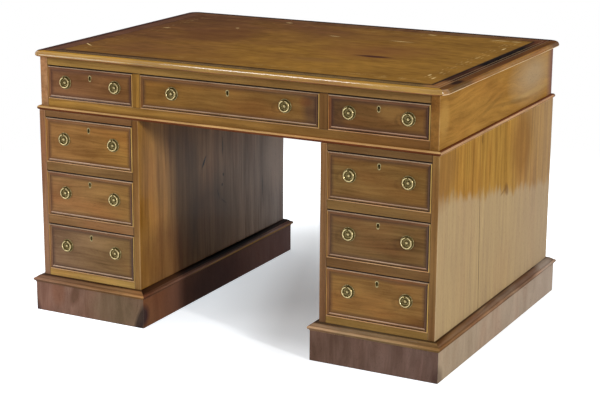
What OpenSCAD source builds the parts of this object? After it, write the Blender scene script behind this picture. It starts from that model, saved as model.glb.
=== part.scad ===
// Three-part pedestal desk: a frieze section with a leather-lined top that stands on two pedestals,
// nine drawers with lapped dovetails, ring pulls and locks. Millimetres.
// The origin is on the floor under the middle of the desk. +X is to the sitter's right hand as the
// drawers are faced, -Y is the drawer side and +Z is up.

/* [Top] */
// Height of the writing surface above the floor
desk_h = 762; // [740:1:790]
// Thickness of the top and of its moulded edge
top_t = 14; // [13:1:24]
// Overhang of the top beyond the frieze, all round
top_overhang = 20; // [12:1:30]
// Plan radius of the four corners of the top
corner_r = 36; // [30:1:60]
// Width of the solid lipping that carries the moulded edge
lip_w = 28; // [20:1:30]
// Radius of the upper curve of the moulded edge
nose_r = 10; // [6:0.5:10]
// Width of the crossbanded border at the front and back
band_front = 40; // [20:1:80]
// Width of the crossbanded border at the two ends
band_side = 36; // [20:1:80]
// Thickness of the writing leather, let in flush
leather_t = 1.2; // [0.8:0.1:3]

/* [Frieze] */
// Width of the frieze section
frieze_w = 1214; // [1190:1:1300]
// Depth of the frieze section
frieze_d = 850; // [800:1:920]
// Thickness of the end boards, whose front edges are the outer stiles
frieze_end_t = 25; // [20:1:32]
// Width of the two muntins between the frieze drawers
muntin_w = 24; // [18:1:36]
// Width of the centre drawer's opening
centre_w = 548; // [500:1:570]
// Height of the frieze drawer openings
frieze_drawer_h = 95; // [80:1:104]
// Height of the rail above the frieze drawers
frieze_top_rail_h = 25; // [18:1:32]
// Height of the rail below the frieze drawers
frieze_bottom_rail_h = 34; // [28:1:42]
// Height of the half-round bead round the foot of the frieze
bead_h = 12; // [8:0.5:16]
// Projection of the bead beyond the frieze
bead_out = 9; // [8:0.5:14]

/* [Pedestals] */
// Width of each pedestal
ped_w = 332; // [300:1:340]
// Width across both pedestals
ped_span = 1224; // [1200:1:1300]
// Depth of each pedestal
ped_d = 859; // [800:1:900]
// Thickness of the pedestal sides, whose front edges are the stiles
side_t = 20; // [16:1:26]
// Height of the rails between the pedestal drawers
rail_h = 25.5; // [20:0.5:30]
// Height of the opening of the bottom pedestal drawer
low_drawer_h = 136; // [120:1:145]
// Height of the opening of the middle pedestal drawer
mid_drawer_h = 131; // [115:1:140]
// Height of the opening of the top pedestal drawer
high_drawer_h = 131; // [115:1:135]
// Thickness of the back boards
back_t = 16; // [12:1:20]

/* [Plinths] */
// Height of the plinth boards
plinth_h = 85; // [70:1:110]
// Thickness of the plinth boards, planted on the pedestal
plinth_t = 18; // [14:1:24]
// Height of the moulding that caps the plinth
cap_h = 22; // [18:1:28]
// Projection of the cap moulding beyond the pedestal
cap_out = 24; // [22:0.5:30]
// Radius of the cap moulding's rounded nose
cap_nose_r = 4.8; // [3:0.1:6]
// Visible height of the rail between the cap moulding and the bottom drawer
foot_rail_h = 19; // [12:1:26]

/* [Drawers] */
// Length of the drawers, from front to back
drawer_len = 690; // [500:5:760]
// Thickness of the drawer fronts
front_t = 18; // [16:1:20]
// Thickness of the drawer sides and backs
lining_t = 9; // [7:0.5:12]
// Thickness of the drawer bottoms
bottom_t = 6; // [5:0.5:8]
// Height of the drawer bottom above the drawer's lower edge
bottom_lift = 8; // [7:0.5:12]
// Depth of the sunk field behind the face of the carcase
field_sink = 2.5; // [1:0.1:4]
// Width of the moulding planted round each drawer front
edge_w = 9.9; // [8:0.1:12]
// Height of that moulding above the sunk field
edge_h = 3.3; // [2.5:0.1:4]
// Gap above each closed drawer
drawer_top_gap = 2.5; // [1:0.1:4]
// Gap at each side of a drawer
drawer_side_gap = 0.8; // [0.5:0.1:2]
// Wood left in front of the lapped dovetails
dovetail_lap = 5; // [4:0.5:7]

/* [Handles and locks] */
// Diameter of the turned back plates
plate_d = 38; // [36:0.5:44]
// Outside diameter of the rings
ring_d = 31; // [28:0.5:33]
// Thickness of the ring's wire
ring_wire_d = 3.2; // [2.6:0.1:3.4]
// Distance of the ring's plane from the drawer's field
ring_stand_off = 8; // [7:0.1:12]
// Distance between the two handles of a pedestal or side drawer
pull_spacing = 165; // [120:1:190]
// Distance between the two handles of the centre drawer
centre_pull_spacing = 346; // [240:1:420]
// Handle centre below the top of a pedestal drawer's opening
ped_pull_drop = 60; // [45:0.5:75]
// Handle centre below the top of a frieze drawer's opening
frieze_pull_drop = 45; // [35:0.5:55]
// Keyhole below the top of the drawer's opening
key_drop = 24; // [22:0.5:28]
// Height of the escutcheon
escutcheon_h = 18; // [16:0.5:20]
// Width of the lock's case
lock_w = 56; // [44:1:70]
// Width of the lock's bolt
bolt_w = 22; // [16:1:30]
// Travel of the lock's bolt
bolt_travel = 8; // [5:0.5:9]

/* [Hidden] */
$fn = 64;

// Clearances
joint_gap = 0.15;    // glue line between two pieces of one group
run_gap = 0.3;       // under a drawer and round a bolt
leather_gap = 0.3;   // round the edge of the leather
stud_gap = 0.1;      // round a handle's stud

// Heights of the main levels, from the floor up
cap_top_z = plinth_h + cap_h;
low_z = cap_top_z + foot_rail_h;
mid_z = low_z + low_drawer_h + rail_h;
high_z = mid_z + mid_drawer_h + rail_h;
high_top_z = high_z + high_drawer_h;
top_z = desk_h - top_t;
frieze_z = top_z - frieze_top_rail_h - frieze_drawer_h - frieze_bottom_rail_h;
frieze_open_z = frieze_z + frieze_bottom_rail_h;
frieze_open_top_z = frieze_open_z + frieze_drawer_h;
ped_h = frieze_z;
ped_clear = 4;       // the pedestal boards end this far above the floor

// Plan
top_w = frieze_w + 2 * top_overhang;
top_d = frieze_d + 2 * top_overhang;
frieze_face = -frieze_d / 2;
ped_face = -ped_d / 2;
ped_x = (ped_span - ped_w) / 2;
ped_in_w = ped_w - 2 * side_t;
side_open_w = (frieze_w - centre_w) / 2 - frieze_end_t - muntin_w;
side_open_x = (centre_w + side_open_w) / 2 + muntin_w;
muntin_x = (centre_w + muntin_w) / 2;

// Inner boards
rail_t = 22;                 // thickness of the upright frieze rails, muntins and top rails
divider_d = 60;              // depth of the rails between the pedestal drawers
frieze_rail_d = 45;          // depth of the rail below the frieze drawers
runner = [22, 18];           // width and height of a runner or kicker
case_board_t = 18;           // boards that close the pedestal at top and bottom
stop = [40, 16, 6];          // drawer stop
block = [60, 16, 10];        // block that keeps the frieze in place on a pedestal
block_in = 8;                // distance of that block from the frieze's end board

// Drawers
field_y = field_sink;
front_back_y = field_y + front_t;
side_drop = 5;               // sides are this much lower than the front
back_drop = 6;               // and the back is this much lower than the sides
groove_in = 4;               // depth of the grooves for the bottom
tail_pin_w = 7;              // narrowest width of the pins between two dovetails
tail_slope = 6;
tail_pitch = 36;             // aimed distance between dovetails

// Handles
ring_r = (ring_d - ring_wire_d) / 2;
lug_r = ring_wire_d / 2 + 1.7;
lug_bore_r = ring_wire_d / 2 + 0.7;
boss_r = 5.5;
boss_h = 7.5;
stud_r = 2.4;
stud_out = 7;                // the stud's end inside the drawer
nut = [5.5, 3.5];            // across-corners radius and thickness

// Locks, measured from the drawer front's upper edge
key_r = 3;
key_slot_w = 3.2;
key_slot_h = 8;
escutcheon_r = 5.5;
escutcheon_slot_w = 8;
escutcheon_t = 2.5;
lock_h = 38;
lock_depth = 9.8;            // depth of the case in the back of the front
lock_flange = 1.2;
bolt_t = 4;
bolt_h = 17;
bolt_y = front_back_y - 5;   // middle of the bolt's thickness
bolt_below = 0.2;            // the bolt at rest ends this far below the drawer's edge
mortise_spare = 2;
key_pin_r = 1.2;
key_bore_r = 4;

// name, middle x, opening width, opening height, opening z, face y, handle spacing, handle drop
DRAWERS = [
    ["frieze_left", -side_open_x, side_open_w, frieze_drawer_h, frieze_open_z, frieze_face,
     pull_spacing, frieze_pull_drop],
    ["frieze_centre", 0, centre_w, frieze_drawer_h, frieze_open_z, frieze_face,
     centre_pull_spacing, frieze_pull_drop],
    ["frieze_right", side_open_x, side_open_w, frieze_drawer_h, frieze_open_z, frieze_face,
     pull_spacing, frieze_pull_drop],
    for (s = [-1, 1], row = [["top", high_z, high_drawer_h], ["middle", mid_z, mid_drawer_h],
                             ["bottom", low_z, low_drawer_h]])
        [str(s < 0 ? "left_" : "right_", row[0]), s * ped_x, ped_in_w, row[2], row[1], ped_face,
         pull_spacing, ped_pull_drop],
];
SIDES = [["left", -1], ["right", 1]];

// Shared shapes

// A quarter of a disc in the first quadrant
module quarter(r) {
    intersection() {
        circle(r);
        square(r);
    }
}

// Runs a profile round the outside of a w by d rectangle, as four mitred strips.
// The profile's x is the distance outwards and its y the height; reach is its greatest x.
module mitred_frame(w, d, reach, height) {
    cut = joint_gap / 2;
    for (i = [0:3]) {
        run = i % 2 == 0 ? w : d;
        away = i % 2 == 0 ? d / 2 : w / 2;
        rotate([0, 0, 90 * i]) translate([0, -away, 0]) intersection() {
            rotate([90, 0, -90]) linear_extrude(height = run + 2 * reach + 2, center = true) children();
            translate([0, 0, -1]) linear_extrude(height = height + 2)
                polygon([[-run / 2 + cut, 0], [run / 2 - cut, 0],
                         [run / 2 + reach - cut, -reach], [-run / 2 - reach + cut, -reach]]);
        }
    }
}

// A box centred on x
module board(w, d, h) {
    translate([-w / 2, 0, 0]) cube([w, d, h]);
}

// A keyhole outline with its round head at the origin
module keyhole(r, slot_w, slot_h) {
    circle(r);
    translate([-slot_w / 2, -slot_h]) square([slot_w, slot_h]);
    translate([0, -slot_h]) circle(slot_w / 2);
}

// Turns a drawing in x and z into a slab that reaches from y0 to y1
module upright(y0, y1) {
    translate([0, y1, 0]) rotate([90, 0, 0]) linear_extrude(height = y1 - y0) children();
}

// Top

// Ovolo with a small return below, drawn from the inner edge of the lipping outwards
module lip_profile() {
    return_r = top_t - nose_r;
    square([lip_w - nose_r, top_t]);
    translate([lip_w - nose_r, return_r]) quarter(nose_r);
    square([lip_w - return_r, return_r]);
    translate([lip_w - return_r, return_r]) circle(return_r);
}

module top_edge_moulding() {
    inner_r = corner_r - lip_w;
    straight = [top_w - 2 * corner_r, top_d - 2 * corner_r];
    color("#b0793a") translate([0, 0, top_z]) for (i = [0:3]) {
        run = straight[i % 2];
        away = straight[(i + 1) % 2] / 2 + inner_r;
        rotate([0, 0, 90 * i]) {
            translate([0, -away, 0]) rotate([90, 0, -90])
                linear_extrude(height = run, center = true) lip_profile();
            translate([-run / 2, -away + inner_r, 0]) rotate([0, 0, 180])
                rotate_extrude(angle = 90) translate([inner_r, 0]) lip_profile();
        }
    }
}

module top_board() {
    inner_r = corner_r - lip_w;
    w = top_w - 2 * lip_w;
    d = top_d - 2 * lip_w;
    color("#5a2f1a") translate([0, 0, top_z]) difference() {
        linear_extrude(height = top_t) union() {
            square([w - 2 * inner_r, d], center = true);
            square([w, d - 2 * inner_r], center = true);
            for (x = [-1, 1], y = [-1, 1])
                translate([x * (w / 2 - inner_r), y * (d / 2 - inner_r)]) circle(inner_r);
        }
        translate([0, 0, top_t - leather_t / 2 + 0.5])
            cube([w - 2 * band_side, d - 2 * band_front, leather_t + 1], center = true);
    }
}

module writing_leather() {
    w = top_w - 2 * lip_w - 2 * band_side - 2 * leather_gap;
    d = top_d - 2 * lip_w - 2 * band_front - 2 * leather_gap;
    color("#b08440") translate([0, 0, desk_h - leather_t / 2]) cube([w, d, leather_t], center = true);
}

// Frieze

module frieze_ends() {
    color("#a8762f") for (s = [-1, 1])
        translate([s * (frieze_w - frieze_end_t) / 2, frieze_face, frieze_z])
            board(frieze_end_t, frieze_d, top_z - frieze_z);
}

module frieze_front_rails() {
    w = frieze_w - 2 * frieze_end_t;
    color("#96622c") translate([0, frieze_face, 0]) {
        translate([0, 0, frieze_z]) board(w, frieze_rail_d, frieze_bottom_rail_h);
        difference() {
            translate([0, 0, frieze_open_top_z]) board(w, rail_t, frieze_top_rail_h);
            for (x = [-side_open_x, 0, side_open_x]) translate([x, 0, frieze_open_top_z]) bolt_mortise();
        }
        for (s = [-1, 1]) translate([s * muntin_x, 0, frieze_open_z + joint_gap])
            board(muntin_w, rail_t, frieze_drawer_h - 2 * joint_gap);
    }
}

module frieze_back_and_partitions() {
    w = frieze_w - 2 * frieze_end_t;
    inner_back = frieze_d / 2 - back_t;
    run = inner_back - frieze_face - frieze_rail_d;
    partition_top = top_z - frieze_open_z;
    color("#7d5a33") {
        translate([0, inner_back, frieze_z]) board(w, back_t, top_z - frieze_z);
        for (s = [-1, 1]) translate([s * muntin_x, inner_back - joint_gap, frieze_open_z - runner[1]])
            mirror([0, 1, 0]) difference() {
                board(muntin_w, run + frieze_rail_d - rail_t - joint_gap, partition_top + runner[1]);
                translate([0, run - joint_gap, -1])
                    board(muntin_w + 2, frieze_rail_d, runner[1] + 1);
            }
        // runners below and kickers above the sides of each drawer
        for (d = [for (i = [0:2]) DRAWERS[i]], s = [-1, 1])
            translate([d[1] + s * (d[2] / 2 - runner[0] / 2 - joint_gap), frieze_face + frieze_rail_d, 0]) {
                translate([0, 0, frieze_open_z - runner[1]])
                    board(runner[0], run - joint_gap, runner[1]);
                translate([0, 0, top_z - runner[1]]) board(runner[0], run - joint_gap, runner[1]);
            }
        // drawer stops on the lower rail
        for (d = [for (i = [0:2]) DRAWERS[i]], s = [-1, 1])
            translate([d[1] + s * d[2] / 4, frieze_face + front_back_y + run_gap, frieze_open_z])
                board(stop[0], stop[1], stop[2]);
    }
}

module waist_bead() {
    r = bead_h / 2;
    color("#b98544") translate([0, 0, frieze_z])
        mitred_frame(frieze_w, frieze_d, bead_out, bead_h) {
            square([bead_out - r, bead_h]);
            translate([bead_out - r, r]) circle(r);
        }
}

// Pedestals, drawn for the side s of the desk

module pedestal_case(s) {
    h = ped_h - ped_clear;
    inner_back = ped_d / 2 - back_t;
    in_w = ped_in_w - 2 * joint_gap;
    run = inner_back - ped_face - divider_d - joint_gap;
    color("#a8742f") translate([s * ped_x, 0, 0]) {
        for (x = [-1, 1]) translate([x * (ped_w - side_t) / 2, ped_face, ped_clear])
            board(side_t, ped_d, h);
        translate([0, inner_back, ped_clear]) board(in_w, back_t, h);
        translate([0, ped_face + rail_t, ped_h - case_board_t])
            board(in_w, inner_back - ped_face - rail_t - joint_gap, case_board_t);
        translate([0, ped_face + divider_d, low_z - case_board_t])
            board(in_w, run, case_board_t);
        for (x = [-1, 1], z = [mid_z, high_z])
            translate([x * (in_w - runner[0]) / 2, ped_face + divider_d, z - runner[1]])
                board(runner[0], run, runner[1]);
        for (x = [-1, 1], z = [low_z, mid_z, high_z])
            translate([x * ped_in_w / 4, ped_face + front_back_y + run_gap, z])
                board(stop[0], stop[1], stop[2]);
        // blocks that stand inside the frieze's end board
        for (y = [-1, 1])
            translate([s * (frieze_w / 2 - frieze_end_t - block_in - ped_x),
                       y * frieze_d / 4 - block[0] / 2, ped_h + joint_gap])
                board(block[1], block[0], block[2]);
    }
}

module pedestal_rails(s) {
    color("#8f5d2a") translate([s * ped_x, ped_face, 0]) {
        translate([0, 0, plinth_h]) board(ped_in_w, divider_d, low_z - plinth_h);
        for (z = [mid_z, high_z]) difference() {
            translate([0, 0, z - rail_h]) board(ped_in_w, divider_d, rail_h);
            translate([0, 0, z - rail_h]) bolt_mortise();
        }
        difference() {
            translate([0, 0, high_top_z]) board(ped_in_w, rail_t, ped_h - high_top_z);
            translate([0, 0, high_top_z]) bolt_mortise();
        }
    }
}

module plinth(s) {
    color("#5f3020") translate([s * ped_x, 0, 0])
        mitred_frame(ped_w, ped_d, plinth_t, plinth_h) square([plinth_t, plinth_h]);
}

// Convex top that falls from the pedestal to a round nose, with a fillet down to the plinth
module cap_profile() {
    nose_z = cap_h - 14.5;
    crown_r = 26;
    square([plinth_t, nose_z]);
    intersection() {
        translate([-2, cap_h - crown_r]) circle(crown_r);
        square([cap_out - cap_nose_r, cap_h]);
    }
    translate([cap_out - cap_nose_r, nose_z]) circle(cap_nose_r);
}

module plinth_moulding(s) {
    color("#9c6530") translate([s * ped_x, 0, plinth_h])
        mitred_frame(ped_w, ped_d, cap_out, cap_h) cap_profile();
}

// Drawers, drawn with the opening's lower front edge at the origin

// Socket in the rail above a drawer for the lock's bolt
module bolt_mortise() {
    deep = bolt_travel - drawer_top_gap + mortise_spare;
    translate([0, bolt_y - bolt_t / 2 - run_gap, -1])
        board(bolt_w + 2 * run_gap, bolt_t + 2 * run_gap, deep + 1);
}

// Points up one end of a drawer side: dovetails between z0 and z0 + h that stand out by reach
function tail_points(z0, h, reach, grow = 0) =
    let (n = max(2, round(h / tail_pitch)), pitch = h / n, wide = pitch - tail_pin_w,
         narrow = wide - 2 * reach / tail_slope)
    [for (i = [0:n - 1]) let (z = z0 + pitch * (i + 0.5))
        [[0, z - narrow / 2 - grow], [-reach - grow, z - wide / 2 - grow],
         [-reach - grow, z + wide / 2 + grow], [0, z + narrow / 2 + grow]]];

function front_h(h) = h - run_gap - drawer_top_gap;
function side_h(h) = front_h(h) - side_drop;
function back_z() = bottom_lift + bottom_t + joint_gap;
function back_h(h) = side_h(h) - back_drop - back_z();
side_y = front_back_y + joint_gap;
side_len = drawer_len - front_t - 2 * joint_gap - lining_t;
tail_reach = front_t - dovetail_lap;

// Sockets that the tails of both sides leave in the front or the back
module tail_sockets(w, z0, h, reach) {
    for (s = [0, 1]) mirror([s, 0, 0])
        translate([w / 2 - lining_t - joint_gap, 0, 0]) rotate([90, 0, 90])
            linear_extrude(height = lining_t + joint_gap + 1)
                for (p = tail_points(z0, h, reach, joint_gap))
                    polygon(concat([p[0] + [1, 0]], p, [p[3] + [1, 0]]));
}

module drawer_side(w, h) {
    sh = side_h(h);
    rear = side_len;
    front_tails = [for (p = tail_points(0, sh, tail_reach)) each p];
    back_tails = [for (p = tail_points(back_z(), back_h(h), lining_t)) each p];
    difference() {
        translate([w / 2 - lining_t, side_y, 0]) rotate([90, 0, 90]) linear_extrude(height = lining_t)
            polygon(concat([[0, 0]], front_tails, [[0, sh], [rear, sh]],
                           [for (i = [len(back_tails) - 1:-1:0]) [rear - back_tails[i][0], back_tails[i][1]]],
                           [[rear, 0]]));
        translate([w / 2 - lining_t - 1, side_y - groove_in - 2 * joint_gap, bottom_lift - joint_gap])
            cube([groove_in + joint_gap + 1, drawer_len, bottom_t + 2 * joint_gap]);
    }
}

// Bead with a quirk and an ovolo that falls to the sunk field; x runs inwards from the edge
module edge_profile() {
    bead_w = 2.6;
    ovolo_r = 14;
    ovolo_h = edge_h - 0.8;
    square([bead_w, edge_h - bead_w / 2]);
    translate([bead_w / 2, edge_h - bead_w / 2]) circle(bead_w / 2);
    intersection() {
        translate([bead_w, ovolo_h - ovolo_r]) circle(ovolo_r);
        translate([bead_w - 0.4, 0]) square([edge_w - bead_w + 0.4, edge_h]);
    }
}

module drawer_front(w, h) {
    fh = front_h(h);
    key_z = h - key_drop - run_gap;
    lock_top = fh;
    difference() {
        translate([0, field_y, 0]) board(w, front_t, fh);
        translate([0, front_back_y, 0]) tail_sockets(w, 0, side_h(h), tail_reach);
        // groove for the bottom
        translate([0, front_back_y - groove_in - joint_gap, bottom_lift - joint_gap])
            board(w - 2 * lining_t + 2 * groove_in, groove_in + 1, bottom_t + 2 * joint_gap);
        // keyhole, with its recess for the escutcheon
        translate([0, 0, key_z]) {
            upright(field_y - 1, front_back_y + 1) keyhole(key_r, key_slot_w, key_slot_h);
            upright(field_y - 1, field_y + escutcheon_t) escutcheon_outline(stud_gap);
        }
        // pocket for the lock, open at the upper edge
        translate([0, front_back_y - lock_depth - stud_gap, lock_top - lock_h - stud_gap])
            board(lock_w + 2 * stud_gap, lock_depth + 1, lock_h + 1);
    }
}

module drawer(d) {
    w = d[2] - 2 * drawer_side_gap;
    h = d[3];
    inner_w = w - 2 * lining_t + 2 * groove_in - 2 * joint_gap;
    color("#8a4f28") translate([d[1], d[5], d[4] + run_gap]) {
        difference() {
            drawer_front(w, h);
            for (s = [-1, 1]) translate([s * d[6] / 2, 0, h - d[7] - run_gap])
                upright(field_y - 1, front_back_y + 1) circle(stud_r + stud_gap);
        }
        // moulding planted on the edge of the front
        translate([0, field_y - joint_gap, front_h(h) / 2]) rotate([90, 0, 0])
            mitred_frame(w - 2 * edge_w, front_h(h) - 2 * edge_w, edge_w, edge_h)
                translate([edge_w, 0]) mirror([1, 0]) edge_profile();
        color("#b08a58") {
            drawer_side(w, h);
            mirror([1, 0, 0]) drawer_side(w, h);
            // back, dovetailed through the sides
            difference() {
                translate([0, side_y + side_len + joint_gap, back_z()]) board(w, lining_t, back_h(h));
                translate([0, side_y + side_len + joint_gap, 0]) mirror([0, 1, 0])
                    tail_sockets(w, back_z(), back_h(h), lining_t);
            }
            // bottom, slid in from behind under the back
            translate([0, front_back_y - groove_in, bottom_lift])
                board(inner_w, groove_in + joint_gap + side_len + lining_t, bottom_t);
        }
    }
}

// Handles and locks

// Turned back plate, from the drawer's field outwards: rim bead, cove, step and domed boss
module plate_profile() {
    r = plate_d / 2;
    rim_r = 1.3;
    step_r = 9;
    square([r - rim_r, 1]);
    translate([r - rim_r, 0]) square([rim_r, 1]);
    translate([r - rim_r, 1]) intersection() {
        circle(rim_r);
        translate([-rim_r, 0]) square(2 * rim_r);
    }
    difference() {
        square([r - 3.4, 2.6]);
        translate([r - 3.4, 2.9]) circle(2);
        translate([step_r + 0.5, 3.6]) circle(1.6);
    }
    square([step_r, 3]);
    square([boss_r - 0.6, 3.9]);
    intersection() {
        translate([0, boss_h - boss_r]) circle(boss_r);
        square([boss_r, boss_h]);
    }
}

// Plate, ring lug and threaded stud in one casting; the field is at y = 0 and the drawer in +y
module pull_plate() {
    rotate([90, 0, 0]) rotate_extrude() plate_profile();
    translate([0, 0, ring_r]) difference() {
        union() {
            rotate([90, 0, 0]) cylinder(r = lug_r, h = ring_stand_off);
            translate([0, -ring_stand_off, 0]) sphere(lug_r);
        }
        translate([0, -ring_stand_off, 0]) rotate([0, 90, 0])
            cylinder(r = lug_bore_r, h = 4 * lug_r, center = true);
    }
    rotate([-90, 0, 0]) cylinder(r = stud_r, h = front_t + stud_out);
}

module pull_nut() {
    translate([0, front_t, 0]) rotate([-90, 0, 0]) difference() {
        cylinder(r = nut[0], h = nut[1], $fn = 6);
        translate([0, 0, -1]) cylinder(r = stud_r + stud_gap, h = nut[1] + 2);
    }
}

module escutcheon_outline(grow = 0) {
    keyhole(escutcheon_r + grow, escutcheon_slot_w + 2 * grow,
            escutcheon_h - escutcheon_r - escutcheon_slot_w / 2);
}

module escutcheon() {
    difference() {
        upright(field_y - 0.4, field_y + escutcheon_t - stud_gap) escutcheon_outline();
        upright(field_y - 1, field_y + escutcheon_t + 1) keyhole(key_r, key_slot_w, key_slot_h);
    }
}

// Lock case let into the back of the front; z = 0 is the front's upper edge
module lock_case() {
    key_z = -(key_drop - drawer_top_gap);
    difference() {
        union() {
            translate([0, front_back_y - lock_depth, -lock_h]) board(lock_w, lock_depth, lock_h);
            translate([0, front_back_y, -lock_h - 2])
                board(lock_w + 6, lock_flange, lock_h + 2);
        }
        translate([0, bolt_y - bolt_t / 2 - run_gap, -bolt_h - bolt_below - run_gap])
            board(bolt_w + 2 * run_gap, bolt_t + 2 * run_gap, bolt_h + bolt_below + run_gap + 1);
        translate([0, 0, key_z])
            upright(front_back_y - lock_depth - 1, bolt_y + bolt_t / 2 + run_gap) circle(key_bore_r);
    }
    translate([0, 0, key_z])
        upright(front_back_y - lock_depth, bolt_y + bolt_t / 2 + run_gap + 1) circle(key_pin_r);
}

module drawer_brasses(d) {
    h = d[3];
    color("#c9a44c") translate([d[1], d[5], d[4]]) {
        for (s = [-1, 1]) translate([s * d[6] / 2, field_y, h - d[7]]) {
            pull_plate();
            pull_nut();
        }
        translate([0, 0, h - key_drop]) escutcheon();
        translate([0, 0, h - drawer_top_gap]) lock_case();
    }
}

module pull_ring(d, s) {
    color("#d8b860") translate([d[1] + s * d[6] / 2, d[5] + field_y - ring_stand_off, d[4] + d[3] - d[7]])
        rotate([90, 0, 0]) rotate_extrude() translate([ring_r, 0]) circle(ring_wire_d / 2);
}

// Bolt with the notch that the key lifts it by
module lock_bolt(d) {
    notch = [6, 4];
    color("#8f8460") translate([d[1], d[5] + bolt_y, d[4] + d[3] - drawer_top_gap - bolt_below])
        difference() {
            translate([0, -bolt_t / 2, -bolt_h]) board(bolt_w, bolt_t, bolt_h);
            translate([0, -bolt_t / 2 - 1, -bolt_h - 1]) board(notch[0], bolt_t + 2, notch[1] + 1);
        }
}

top_board();
top_edge_moulding();
writing_leather();
frieze_ends();
frieze_back_and_partitions();
frieze_front_rails();
waist_bead();
for (s = SIDES) {
    pedestal_case(s[1]);
    pedestal_rails(s[1]);
    plinth(s[1]);
    plinth_moulding(s[1]);
}
for (d = DRAWERS) {
    drawer(d);
    drawer_brasses(d);
    pull_ring(d, -1);
    pull_ring(d, 1);
    lock_bolt(d);
}
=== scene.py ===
"""The looks of a pedestal desk: polished mahogany boards, a tooled writing leather, turned brass handles and
locks, on a pale studio floor. Lengths are metres in the mesh code and mm in the materials' patterns."""

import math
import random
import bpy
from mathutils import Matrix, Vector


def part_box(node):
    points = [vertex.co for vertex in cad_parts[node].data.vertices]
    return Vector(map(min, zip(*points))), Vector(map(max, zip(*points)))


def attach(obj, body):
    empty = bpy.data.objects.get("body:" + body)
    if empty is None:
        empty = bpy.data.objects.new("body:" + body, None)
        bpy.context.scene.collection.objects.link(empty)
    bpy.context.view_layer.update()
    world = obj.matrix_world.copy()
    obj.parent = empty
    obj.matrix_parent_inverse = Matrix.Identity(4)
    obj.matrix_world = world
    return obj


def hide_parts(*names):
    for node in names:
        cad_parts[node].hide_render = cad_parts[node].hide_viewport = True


bl_info = {
    "name": "Pedestal desk",
    "version": (1, 0, 0),
    "blender": (4, 5, 0),
    "location": "3D View > Sidebar > Desk",
    "description": "Dresses the frame of a pedestal desk in wood, leather and brass",
    "category": "Object",
}

from functools import partial

import bmesh
import bpy
from mathutils import Matrix, Vector

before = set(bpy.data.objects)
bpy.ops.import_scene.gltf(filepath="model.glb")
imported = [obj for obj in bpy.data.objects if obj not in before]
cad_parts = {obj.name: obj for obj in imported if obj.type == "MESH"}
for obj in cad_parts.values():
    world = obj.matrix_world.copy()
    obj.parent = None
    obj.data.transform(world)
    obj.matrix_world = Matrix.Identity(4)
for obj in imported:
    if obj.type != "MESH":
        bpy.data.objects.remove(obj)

MM = 0.001
WELD = 2e-6                 # vertices closer than this are one
TOUCH = 1e-6                # vertices nearer to a cutting plane than this lie on it
FLAT = math.radians(0.5)    # faces that meet at less than this are one flat face
SHARP = math.radians(32)    # edges that turn more than this stay crisp or get a worn arris

DRAWERS = ("frieze_left", "frieze_centre", "frieze_right", "left_top", "left_middle", "left_bottom",
           "right_top", "right_middle", "right_bottom")


def hex_colour(code):
    """The linear colour of an sRGB hex value such as #A07038. A linear colour stays as it is."""
    if not isinstance(code, str):
        return tuple(code)
    parts = [int(code[i:i + 2], 16) / 255 for i in (1, 3, 5)]
    return tuple(p / 12.92 if p <= 0.04045 else ((p + 0.055) / 1.055) ** 2.4 for p in parts)


# Sizes and colours a user would change

def colour_property(name, description, code):
    return bpy.props.FloatVectorProperty(name=name, description=description, default=hex_colour(code),
                                         subtype="COLOR", size=3, min=0, max=1)


def power_property(name, description, default):
    return bpy.props.FloatProperty(name=name, description=description, default=default, min=0, unit="POWER")


class DeskWood(bpy.types.PropertyGroup):
    end: colour_property("Frieze ends", "Boards at the two ends of the frieze", "#91692F")
    # the faded part named here is a painted reflection of the pale floor on the right pedestal's side
    side: colour_property("Pedestal sides", "Outer sides of the pedestals, above the faded part", "#946E30")
    inner: colour_property("Kneehole sides", "Boards that face the kneehole, at their front", "#8E6426")
    # the grey of this back end is painted light bounced from the floor
    inner_back: colour_property("Kneehole sides, back", "The same boards at their dull back end", "#776A62")
    back: colour_property("Backs", "Back boards of the frieze and the pedestals", "#8A6434")
    edge: colour_property("Moulded edge", "Lipping of the top at its front", "#A07830")
    band: colour_property("Crossbanding", "Border round the leather", "#68502A")
    lining: colour_property("Linings", "Sides, backs and bottoms of the drawers", "#A57C50")
    arris: bpy.props.FloatProperty(name="Worn arris", description="Width of the worn edge of a board",
                                   default=0.8 * MM, min=0.1 * MM, max=2 * MM, unit="LENGTH")


class DeskLeather(bpy.types.PropertyGroup):
    hide: colour_property("Leather", "Aged tan calf", "#825C22")
    gilt: colour_property("Gilding", "Worn gold leaf of the tooled border", "#D8B876")
    border: bpy.props.FloatProperty(name="Border", description="Distance of the tooled border from the edge",
                                    default=30 * MM, min=5 * MM, max=90 * MM, unit="LENGTH")


class DeskBrass(bpy.types.PropertyGroup):
    polished: colour_property("Polished brass", "Rings and high parts of the plates", "#C4B283")
    # the patina colour also paints the shade round a ring on the back plates
    patina: colour_property("Patina", "Dark wax and dirt in the recesses", "#4E421F")


class DeskStudio(bpy.types.PropertyGroup):
    key: power_property("Key light", "Softbox on the right", 270)
    fill: power_property("Fill light", "Softbox in front on the left", 30)
    top: power_property("Top light", "Softbox above", 36)
    back: power_property("Back light", "Softbox behind on the right", 28)
    around: bpy.props.FloatProperty(name="Surrounding light", description="Light from the white studio",
                                    default=0.42, min=0)
    paper_glow: bpy.props.FloatProperty(name="Paper glow", default=0.58, min=0, max=1,
                                        description="How much whiter the paper looks than it is lit")


# Materials

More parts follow.
